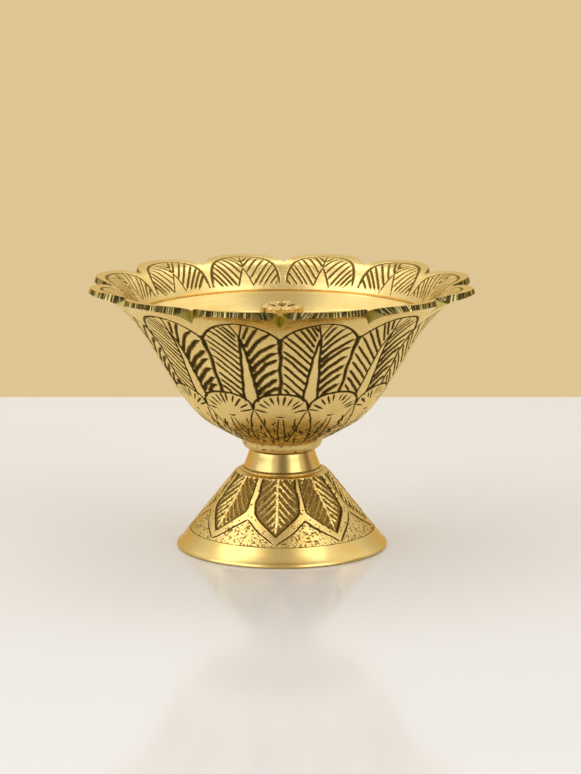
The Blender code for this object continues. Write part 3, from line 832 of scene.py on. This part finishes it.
def make_nut(material):
    """Hexagon nut with chamfered corners and a threaded bore."""
    low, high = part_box("hex_nut")
    nut = Casting("hexagon_nut")
    steps = 144
    azimuths = np.arange(steps) / steps * TURN
    half_flats, face_radius, chamfer_radius = 3.5 * MM, 3.15 * MM, 3.42 * MM
    flat = half_flats / np.cos((azimuths + math.pi / 6) % (math.pi / 3) - math.pi / 6)
    height = high.z - low.z
    rows = [(THREAD_BORE + 0.25 * MM, high.z), (face_radius, high.z), (chamfer_radius, high.z - 0.03 * MM)]
    for share in (0.06, 0.1, 0.14, 0.2, 0.5, 0.8, 0.86, 0.9, 0.94):
        edge = min(share, 1 - share) * height
        rows.append((np.minimum(flat, chamfer_radius + edge * 1.75), low.z + height * (1 - share)))
    rows += [(chamfer_radius, low.z + 0.03 * MM), (face_radius, low.z), (THREAD_BORE + 0.25 * MM, low.z)]
    for turn in np.linspace(0.08, 0.92, 28):
        z = low.z + height * turn
        rows.append((THREAD_BORE + 0.14 * MM * np.sin((z / THREAD_PITCH - azimuths / TURN) * TURN), z))
    points = np.array([about_axis(radius, azimuths, z) for radius, z in rows])
    rings = nut.grid(points)
    nut.grid(np.stack([points[-1], points[0]]), first=rings[-1], last=rings[0])
    return nut.finish([material], "lamp", "hex_nut", "zinc_steel")


def washer_section(outer, middle, half, edge):
    """Section of a washer, from the middle of its bore and round again."""
    inner = CLEARANCE_RADIUS
    return rounded([(inner, middle), (inner, middle + half), (outer, middle + half),
                    (outer, middle - half), (inner, middle - half), (inner, middle)], edge)[:-1]


def make_flat_ring(name, node, material, slot, edge, seed):
    """Stamped or cut washer with softened edges and faintly uneven faces."""
    low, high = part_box(node)
    rng = np.random.default_rng(seed)
    loop = washer_section((high.x - low.x) / 2, (low.z + high.z) / 2, (high.z - low.z) / 2, edge)
    profile = tool_marks(loop, 0.006 * MM, 0.5 * MM, rng, 0.25 * MM)
    steps = 144
    ring = Casting(name)
    rings = ring.revolve(profile, steps)
    ring.revolve([profile[-1], profile[0]], steps, first=rings[-1], last=rings[0])
    return ring.finish([material], "lamp", node, slot)


def make_spring_washer(material):
    """Split ring of square wire, its ends a little out of line."""
    low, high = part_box("spring_washer")
    washer = Casting("split_spring_washer")
    spread, half_slot, middle_radius = 0.09 * MM, 0.25 * MM, 3.1 * MM
    section = washer_section(3.8 * MM, (low.z + high.z) / 2, (high.z - low.z) / 2 - spread, 0.16 * MM)
    gap = half_slot / middle_radius
    turns = np.linspace(gap, TURN - gap, 121)
    rows = []
    for turn in turns:
        lift = spread * (1 - 2 * turn / TURN)
        rows.append(about_axis(section[:, 0], turn, section[:, 1] + lift))
    points = np.array(rows)
    rings = washer.grid(points)
    for ring, row, flip in ((rings[0], points[0], True), (rings[-1], points[-1], False)):
        centre = row.mean(axis=0)
        hub = washer.add_points([centre])[0]
        around = np.stack([np.full(len(ring), hub), ring, np.roll(ring, -1)], axis=1)
        spots = np.stack([np.broadcast_to(centre, row.shape), row, np.roll(row, -1, axis=0)], axis=1)
        if flip:
            around, spots = around[:, ::-1], spots[:, ::-1]
        washer.add_faces(around, np.repeat(face_normals(spots)[:, None], 3, axis=1))
    return washer.finish([material], "lamp", "spring_washer", "zinc_steel")


def make_stem(material):
    """Turned post: spigot, cap seat, column, bead, socket and foot."""
    rng = np.random.default_rng(31)
    top, foot, bead = stem_high.z, stem_low.z, 46.0 * MM
    seat = cap_low.z - 0.3 * MM
    under = seat - 1.0 * MM
    outline = [(4.2, top), (4.5, top - 0.3 * MM), (4.5, seat), (5.6, seat), (5.6, under),
               (3.8, under - 1.4 * MM), (3.05, under - 2.6 * MM), (2.9, under - 3.8 * MM),
               (2.9, bead + 1.5 * MM), (3.9, bead + 1.0 * MM), (4.4, bead), (3.9, bead - 1.0 * MM),
               (3.7, bead - 1.5 * MM), (3.7, foot + 4.4 * MM), (4.2, foot + 2.7 * MM),
               (5.5, foot + 1.6 * MM), (5.5, foot)]
    outline = [(radius * MM, height) for radius, height in outline]
    outside = rounded(outline, 0.35 * MM, 4)
    bore = [(THREAD_BORE, foot), (THREAD_BORE, 42.0 * MM), (0.0, 43.0 * MM)]
    stem = Casting("turned_wick_post")
    steps = 128
    rings = stem.revolve([(0.0, top), (2.1 * MM, top), outline[0]], steps)
    side = tool_marks(outside, 0.012 * MM, 0.45 * MM, rng, 0.3 * MM)
    rings = stem.revolve(side, steps, first=rings[-1])
    stem.revolve([outline[-1]] + bore, steps, first=rings[-1])
    return stem.finish([material], "lamp", "wick_stem", "turned_brass")


def make_wick_cap(material):
    """Cast cap with worn edges: a disc on a skirt, six wick holes round a seventh."""
    steps = 96
    radius = (cap_high.x - cap_low.x) / 2
    plate = cap_high.z - 1.1 * MM
    crown = cap_high.z - 0.03 * MM
    profile = [(0.0, crown - 0.95 * MM), (1.6 * MM, crown - 0.9 * MM), (4.2 * MM, crown - 0.12 * MM),
               (4.75 * MM, crown), (5.3 * MM, crown - 0.04 * MM), (radius - 0.06 * MM, crown - 0.55 * MM),
               (radius - 0.06 * MM, cap_low.z + 0.05 * MM), (radius - 1.0 * MM, cap_low.z + 0.05 * MM),
               (radius - 1.0 * MM, plate), (0.0, plate)]
    body = bmesh.new()
    rings = []
    for r, z in profile:
        if r == 0.0:
            rings.append([body.verts.new((0, 0, z))] * steps)
        else:
            rings.append([body.verts.new((r * math.cos(i * TURN / steps), r * math.sin(i * TURN / steps), z))
                          for i in range(steps)])
    for upper, lower in zip(rings, rings[1:]):
        for i in range(steps):
            j = (i + 1) % steps
            corners = list(dict.fromkeys([upper[i], lower[i], lower[j], upper[j]]))
            body.faces.new(corners)
    blank = add_object("perforated_wick_cap", bpy.data.meshes.new("perforated_wick_cap"))
    body.to_mesh(blank.data)
    body.free()
    drill = bmesh.new()
    around = 6
    for hole in range(around + 1):
        turn = TURN * (hole + 0.5) / around
        reach = 3.1 * MM if hole < around else 0.0
        size = (1.14 if hole < around else 0.9) * MM
        place = Vector((reach * math.cos(turn), reach * math.sin(turn), cap_high.z))
        made = bmesh.ops.create_cone(drill, cap_ends=True, segments=40, radius1=size, radius2=size,
                                     depth=6.6 * MM)["verts"]
        bmesh.ops.translate(drill, verts=made, vec=place)
    cutter = add_object("wick_drill", bpy.data.meshes.new("wick_drill"))
    drill.to_mesh(cutter.data)
    drill.free()
    holes = blank.modifiers.new("holes", "BOOLEAN")
    holes.object = cutter
    holes.operation = "DIFFERENCE"
    holes.solver = "EXACT"
    skin = blank.modifiers.new("skin", "REMESH")
    skin.mode = "VOXEL"
    skin.voxel_size = 0.11 * MM
    worn = blank.modifiers.new("worn", "SMOOTH")
    worn.factor = 0.5
    worn.iterations = 3
    grain = bpy.data.textures.new("cast_grain", "CLOUDS")
    grain.noise_scale = 0.6 * MM
    grain.noise_depth = 2
    rough = blank.modifiers.new("grain", "DISPLACE")
    rough.texture = grain
    rough.strength = 0.2 * MM
    rough.mid_level = 0.5
    bpy.context.view_layer.update()
    mesh = bpy.data.meshes.new_from_object(blank.evaluated_get(bpy.context.evaluated_depsgraph_get()))
    blank.modifiers.clear()
    blank.data = mesh
    bpy.data.objects.remove(cutter)
    mesh.shade_smooth()
    mesh.materials.clear()
    mesh.materials.append(material)
    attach(blank, "loose_cap")
    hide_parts("wick_cap")
    return blank


# ------------------------------------------------------------------ materials
COLOUR_A, COLOUR_B, COLOUR_OUT = 6, 7, 2      # sockets of the mix node that carry colours


class Recipe:
    """Node tree of a material or of the world, built by naming each node's inputs."""

    def __init__(self, name, owners=bpy.data.materials, coordinate="Object"):
        self.owner = owners.new(name)
        self.owner.use_nodes = True
        self.tree = self.owner.node_tree
        self.tree.nodes.clear()
        self.place = self.node("ShaderNodeTexCoord").outputs[coordinate]

    def node(self, kind, inputs=None, **settings):
        made = self.tree.nodes.new(kind)
        for key, value in settings.items():
            setattr(made, key, value)
        for key, value in (inputs or {}).items():
            self.feed(made.inputs[key], value)
        return made

    def feed(self, socket, value):
        """Give an input its value, or the output it is linked to; a triple is a colour."""
        if isinstance(value, bpy.types.NodeSocket):
            self.tree.links.new(value, socket)
        elif socket.type == "RGBA" and len(value) == 3:
            socket.default_value = (*value, 1.0)
        else:
            socket.default_value = value

    def noise(self, scale, detail=3.0, rough=0.55, place=None):
        """Noise value with the given number of features a metre."""
        return self.node("ShaderNodeTexNoise", {"Vector": place or self.place, "Scale": scale,
                                                "Detail": detail, "Roughness": rough}).outputs["Fac"]

    def math(self, operation, *values):
        made = self.node("ShaderNodeMath", operation=operation)
        for socket, value in zip(made.inputs, values):
            self.feed(socket, value)
        return made.outputs[0]

    def between(self, value, low, high, to_low=0.0, to_high=1.0):
        """Value carried smoothly from one range to another, and kept inside it."""
        return self.node("ShaderNodeMapRange", {"Value": value, "From Min": low, "From Max": high,
                                                "To Min": to_low, "To Max": to_high},
                         interpolation_type="SMOOTHSTEP").outputs["Result"]

    def mix(self, share, first, second):
        """Colour between two colours, given as linear triples or sockets."""
        inputs = {"Factor": share, COLOUR_A: first, COLOUR_B: second}
        return self.node("ShaderNodeMix", inputs, data_type="RGBA").outputs[COLOUR_OUT]

    def attribute(self, name):
        return self.node("ShaderNodeAttribute", attribute_name=name).outputs["Fac"]

    def bump(self, height, distance, before=None):
        inputs = {"Height": height, "Distance": distance, "Strength": 1.0}
        if before:
            inputs["Normal"] = before
        return self.node("ShaderNodeBump", inputs).outputs["Normal"]

    def turned_place(self):
        """Coordinates that stay the same all round, so that noise runs in rings."""
        split = self.node("ShaderNodeSeparateXYZ", {"Vector": self.place}).outputs
        flat = self.node("ShaderNodeCombineXYZ", {"X": split["X"], "Y": split["Y"]}).outputs[0]
        radius = self.node("ShaderNodeVectorMath", {0: flat}, operation="LENGTH").outputs["Value"]
        around = self.math("MULTIPLY", self.math("ARCTAN2", split["Y"], split["X"]), 9e-4)
        return self.node("ShaderNodeCombineXYZ", {"X": radius, "Y": split["Z"], "Z": around}).outputs[0]

    def finish(self, colour, roughness, metallic, normal=None, tint=None):
        inputs = {"Base Color": colour, "Roughness": roughness, "Metallic": metallic}
        if normal:
            inputs["Normal"] = normal
        if tint:
            inputs["Specular Tint"] = tint
        shader = self.node("ShaderNodeBsdfPrincipled", inputs)
        self.node("ShaderNodeOutputMaterial", {"Surface": shader.outputs[0]})
        return self.owner


BRASS = (0.88, 0.67, 0.275)
WARM_BRASS = (0.82, 0.52, 0.135)
PEDESTAL_BRASS = (0.74, 0.55, 0.21)
# darker, more orange brass for the ledge step: painted shade in the step
LEDGE_SHADE_BRASS = (0.60, 0.33, 0.06)
TARNISH = (0.25, 0.155, 0.033)
OXIDE = (0.05, 0.036, 0.012)
GRAZING_TINT = (0.95, 0.86, 0.62, 1.0)    # brass stays golden at a glancing angle
FLOOR = (0.79, 0.79, 0.80)


def carved_brass(name, deep=OXIDE, core=0.62, brass=BRASS):
    """Polished casting, tarnished in its cuts and dark at their bottom."""
    recipe = Recipe(name)
    ragged = recipe.math("SUBTRACT", recipe.noise(1700.0, 4.0), 0.5)
    cut = recipe.math("ADD", recipe.attribute("patina"), recipe.math("MULTIPLY", ragged, 0.75))
    stained = recipe.between(cut, 0.1, 0.4)
    dark = recipe.between(cut, core - 0.25, core + 0.25)
    haze = recipe.between(recipe.noise(240.0, 4.0), 0.45, 0.8, 0.0, 0.5)
    specks = recipe.between(recipe.noise(2600.0, 2.0), 0.67, 0.76, 0.0, 0.5)
    plain = recipe.mix(haze, brass, WARM_BRASS)
    dull = recipe.math("MAXIMUM", stained, specks)
    colour = recipe.mix(dark, recipe.mix(dull, plain, TARNISH), deep)
    rough = recipe.between(recipe.noise(420.0, 5.0), 0.3, 0.7, 0.2, 0.33)
    rough = recipe.math("ADD", rough, recipe.math("MULTIPLY", dull, 0.3))
    normal = recipe.bump(recipe.noise(1300.0, 5.0, 0.6), 0.03 * MM)
    return recipe.finish(colour, rough, 1.0, normal, GRAZING_TINT)


def filed_brass(name):
    """Edge painted dark, partly as casting patina and partly as a painted reflection of the dark room, with
    bright strokes of the file and cleanly cut facets.
    """
    recipe = Recipe(name)
    ragged = recipe.math("SUBTRACT", recipe.noise(1900.0, 3.0), 0.5)
    bright = recipe.math("ADD", recipe.attribute("mark"), recipe.math("MULTIPLY", ragged, 0.4))
    share = recipe.between(bright, 0.35, 0.9)
    cloud = recipe.between(recipe.noise(500.0), 0.35, 0.65)
    # Dark colour of the edge: partly patina, partly a painted reflection of the dark room.
    patina_and_painted_reflection = recipe.mix(cloud, (0.04, 0.03, 0.009), (0.16, 0.115, 0.03))
    colour = recipe.mix(share, patina_and_painted_reflection, (0.82, 0.68, 0.27))
    facet = recipe.attribute("patina")
    clean = recipe.mix(recipe.noise(600.0, 3.0), (0.62, 0.51, 0.12), (0.88, 0.75, 0.26))
    colour = recipe.mix(facet, colour, clean)
    rough = recipe.between(recipe.math("MAXIMUM", share, facet), 0.0, 1.0, 0.5, 0.27)
    normal = recipe.bump(recipe.noise(2600.0, 3.0), 0.04 * MM)
    return recipe.finish(colour, rough, 1.0, normal, GRAZING_TINT)


def turned_brass(name, brass=BRASS, rough_low=0.17, rough_high=0.27, ring=1.0):
    """Machined brass: rings left by the tool and a few dull clouds."""
    recipe = Recipe(name)
    place = recipe.turned_place()
    rings = recipe.noise(5200.0, 3.0, 0.6, place)
    broad = recipe.noise(700.0, 2.0, 0.5, place)
    haze = recipe.between(recipe.noise(160.0, 4.0), 0.4, 0.75, 0.0, 0.6)
    colour = recipe.mix(haze, brass, WARM_BRASS)
    rough = recipe.between(recipe.math("ADD", rings, recipe.math("MULTIPLY", haze, 0.4)), 0.3, 0.9,
                           rough_low, rough_high)
    normal = recipe.bump(recipe.math("ADD", rings, broad), 0.006 * MM * ring)
    return recipe.finish(colour, rough, 1.0, normal, GRAZING_TINT)


def raw_casting(name, tint=(0.50, 0.34, 0.10), shade=(0.15, 0.095, 0.03)):
    """Sand-cast skin that was never polished."""
    recipe = Recipe(name)
    grain = recipe.noise(1400.0, 6.0, 0.65)
    pits = recipe.between(recipe.noise(800.0, 4.0), 0.58, 0.7)
    colour = recipe.mix(recipe.between(grain, 0.35, 0.65), shade, tint)
    colour = recipe.mix(pits, colour, OXIDE)
    rough = recipe.between(grain, 0.3, 0.7, 0.38, 0.62)
    normal = recipe.bump(grain, 0.09 * MM, recipe.bump(pits, -0.05 * MM))
    return recipe.finish(colour, rough, 1.0, normal)


def zinc_steel(name):
    """Zinc plating with its cloudy crystals."""
    recipe = Recipe(name)
    cells = recipe.node("ShaderNodeTexVoronoi", {"Vector": recipe.place, "Scale": 1300.0}).outputs["Color"]
    tone = recipe.node("ShaderNodeSeparateColor", {"Color": cells}).outputs[0]
    colour = recipe.mix(tone, (0.50, 0.51, 0.52), (0.68, 0.68, 0.66))
    rough = recipe.between(recipe.noise(900.0, 4.0), 0.3, 0.7, 0.28, 0.46)
    return recipe.finish(colour, rough, 1.0, recipe.bump(recipe.noise(2200.0, 4.0), 0.02 * MM))


def fibre(name):
    """Vulcanised fibre, fine-grained and dull."""
    recipe = Recipe(name)
    grain = recipe.noise(2400.0, 5.0)
    colour = recipe.mix(grain, (0.16, 0.035, 0.02), (0.33, 0.10, 0.055))
    return recipe.finish(colour, recipe.between(grain, 0.3, 0.7, 0.62, 0.82), 0.0,
                         recipe.bump(grain, 0.04 * MM))


# --------------------------------------------------------------------- studio
def pale_paint(name):
    recipe = Recipe(name)
    tone = recipe.between(recipe.noise(4.0, 2.0), 0.3, 0.7)
    return recipe.finish(recipe.mix(tone, FLOOR, tuple(0.97 * c for c in FLOOR)), 0.12, 0.0)


def staged_sheet(name, corners, material):
    mesh = bpy.data.meshes.new(name)
    mesh.from_pydata(corners, [], [(0, 1, 2, 3)])
    mesh.materials.append(material)
    sheet = add_object(name, mesh)


def soft_box(name, place, size, power):
    """Area light that points at the middle of the lamp."""
    lamp = bpy.data.lights.new(name, "AREA")
    lamp.shape = "RECTANGLE"
    lamp.size, lamp.size_y = size
    lamp.energy = power
    lamp.color = (1.0, 0.985, 0.96)
    box = add_object(name, lamp)
    box.location = place
    box.rotation_euler = (Vector((0, 0, 0.05)) - Vector(place)).to_track_quat("-Z", "Y").to_euler()


def surroundings():
    """Pale room: bright high on both sides, warm behind the lamp, dim overhead, in front and to the right."""
    recipe = Recipe("studio", bpy.data.worlds, "Generated")
    way = recipe.node("ShaderNodeSeparateXYZ", {"Vector": recipe.place}).outputs
    sideways = recipe.math("ABSOLUTE", way["X"])
    from_front = recipe.math("ABSOLUTE", recipe.math("ADD", way["X"], -0.05))
    from_right = recipe.math("ABSOLUTE", recipe.math("ADD", way["Y"], -0.05))
    behind = ((way["Y"], -0.1, 0.6), (way["Z"], 0.0, 0.45, 1.0, 0.0))
    front = ((way["Y"], -0.9, -0.35, 1.0, 0.0), (from_front, 0.14, 0.34, 1.0, 0.0))
    right = ((way["X"], 0.55, 0.8), (from_right, 0.1, 0.3, 1.0, 0.0))
    sides = ((sideways, 0.2, 0.42), (sideways, 0.7, 0.95, 1.0, 0.0), (way["Z"], 0.35, 0.6))
    overhead = ((way["Z"], 0.88, 0.97), (sideways, 0.1, 0.3, 1.0, 0.0))
    room = (0.74, 0.725, 0.70)
    for (first, *others), colour in ((behind, (0.74, 0.56, 0.295)), (front, (0.27, 0.24, 0.20)),
                                     (right, (0.30, 0.20, 0.10)), (sides, (1.12, 1.08, 1.0)),
                                     (overhead, (0.55, 0.50, 0.42))):
        share = recipe.between(*first)
        for other in others:
            share = recipe.math("MULTIPLY", share, recipe.between(*other))
        room = recipe.mix(share, room, colour)
    glow = recipe.node("ShaderNodeBackground", {"Color": room, "Strength": 1.0})
    recipe.node("ShaderNodeOutputWorld", {"Surface": glow.outputs[0]})
    return recipe.owner


def make_studio():
    """Pale floor that ends behind the lamp, a pale room and soft boxes."""
    back = 0.205
    staged_sheet("floor", [(-1.5, -1.6, 0), (1.5, -1.6, 0), (1.5, back, 0), (-1.5, back, 0)],
                 pale_paint("pale_floor"))
    bpy.context.scene.world = surroundings()
    soft_box("key", (-0.59, -0.31, 0.57), (0.8, 0.6), 1.75)
    soft_box("fill", (0.48, -0.47, 0.57), (0.46, 0.6), 1.15)
    soft_box("over", (0.0, 0.35, 0.85), (0.9, 0.4), 1.4)

    # Fitted to the lamp's outline in the photo: 0.8 m away, looking down 10.93 degrees.
    lens = bpy.data.cameras.new("camera")
    lens.lens = 137.67
    lens.sensor_width = 36.0
    camera = add_object("camera", lens)
    camera.location = (0.00229, -0.7791, 0.1935)
    camera.rotation_euler = (math.radians(90 - 10.93), 0.0, 0.0)
    bpy.context.scene.camera = camera
    bpy.context.scene.view_settings.view_transform = "Standard"


# ----------------------------------------------------------------------- main
turned = turned_brass("turned_brass")
polished = turned_brass("polished_brass", PEDESTAL_BRASS, ring=0.5)
make_bowl([carved_brass("carved_brass"), filed_brass("filed_rim"), turned,
           raw_casting("cast_foot_ring", BRASS, (0.76, 0.56, 0.21)),
           carved_brass("carved_petals", (0.15, 0.10, 0.028), 0.8),
           turned_brass("painted_ledge_shade", LEDGE_SHADE_BRASS)])
make_pedestal([carved_brass("carved_pedestal", (0.07, 0.048, 0.014), 0.66, PEDESTAL_BRASS), polished,
               raw_casting("raw_hollow")])
make_stud(turned_brass("stud_brass", (0.74, 0.52, 0.2), 0.28, 0.42))
steel = zinc_steel("zinc_steel")
make_nut(steel)
make_flat_ring("flat_base_washer", "base_washer", steel, "zinc_steel", 0.15 * MM, 41)
make_spring_washer(steel)
make_flat_ring("fibre_seal_washer", "seal_washer", fibre("vulcanised_fibre"), "fibre", 0.08 * MM, 43)
make_stem(turned_brass("post_brass"))
make_wick_cap(raw_casting("cap_brass", (0.90, 0.70, 0.30), (0.45, 0.30, 0.08)))
make_studio()
